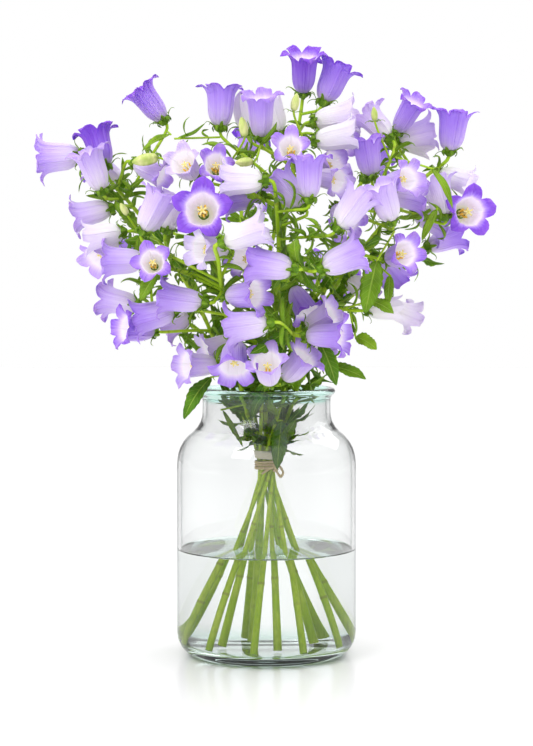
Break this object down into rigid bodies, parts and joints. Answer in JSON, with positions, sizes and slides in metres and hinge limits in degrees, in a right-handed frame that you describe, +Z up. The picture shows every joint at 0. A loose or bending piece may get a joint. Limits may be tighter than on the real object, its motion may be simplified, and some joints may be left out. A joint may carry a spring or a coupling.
{
  "type": "cut flower arrangement in a vase",
  "caption": "Loose bunch of lilac, purple and white bell flowers on leafy stems, tied with twine and standing in water in a clear glass jar vase.",
  "frame": {"origin": "centre of the vase's foot, on the surface that it stands on", "axes": "+Z up, along the axis of the vase; +Y away from the viewer of the picture, +X to the viewer's right"},
  "size_m": [0.426, 0.3188, 0.5723],
  "materials": {
    "clear_glass": "clear, polished",
    "water": "clear water",
    "jute_twine": "rough natural fibre",
    "paper_band": "matt paper",
    "leafy_stem": "natural, slightly waxy",
    "white_petal": "natural, thin and satin",
    "lilac_petal": "natural, thin and satin",
    "purple_petal": "natural, thin and satin"
  },
  "bodies": {
    "root": {"bells_01": "lilac_petal", "bells_02": "lilac_petal", "bells_03": "lilac_petal", "bells_04": "purple_petal", "bells_05": "lilac_petal", "bells_06": "lilac_petal", "bells_07": "lilac_petal", "bells_08": "lilac_petal", "bells_09": "lilac_petal", "bells_10": "purple_petal", "bells_11": "lilac_petal", "bells_12": "lilac_petal", "bells_13": "lilac_petal", "bells_14": "lilac_petal", "bells_15": "lilac_petal", "bells_16": "lilac_petal", "bells_17": "lilac_petal", "bells_18": "lilac_petal", "bells_19": "lilac_petal", "bells_20": "lilac_petal", "bells_21": "purple_petal", "bells_22": "lilac_petal", "bells_23": "lilac_petal", "bells_24": "lilac_petal", "bells_25": "lilac_petal", "bells_26": "lilac_petal", "bells_27": "purple_petal", "bells_28": "lilac_petal", "bells_29": "lilac_petal", "bells_30": "purple_petal", "bells_31": "purple_petal", "bells_32": "lilac_petal", "bells_33": "lilac_petal", "bells_34": "white_petal", "bells_35": "lilac_petal", "bells_36": "lilac_petal", "bells_37": "lilac_petal", "bells_38": "white_petal", "bells_39": "lilac_petal", "bells_40": "lilac_petal", "bells_41": "purple_petal", "binding_band": "paper_band", "binding_twine": "jute_twine", "stem_01": "leafy_stem", "stem_02": "leafy_stem", "stem_03": "leafy_stem", "stem_04": "leafy_stem", "stem_05": "leafy_stem", "stem_06": "leafy_stem", "stem_07": "leafy_stem", "stem_08": "leafy_stem", "stem_09": "leafy_stem", "stem_10": "leafy_stem", "stem_11": "leafy_stem", "stem_12": "leafy_stem", "stem_13": "leafy_stem", "vase": "clear_glass", "water": "water"}
  },
  "joints": []
}
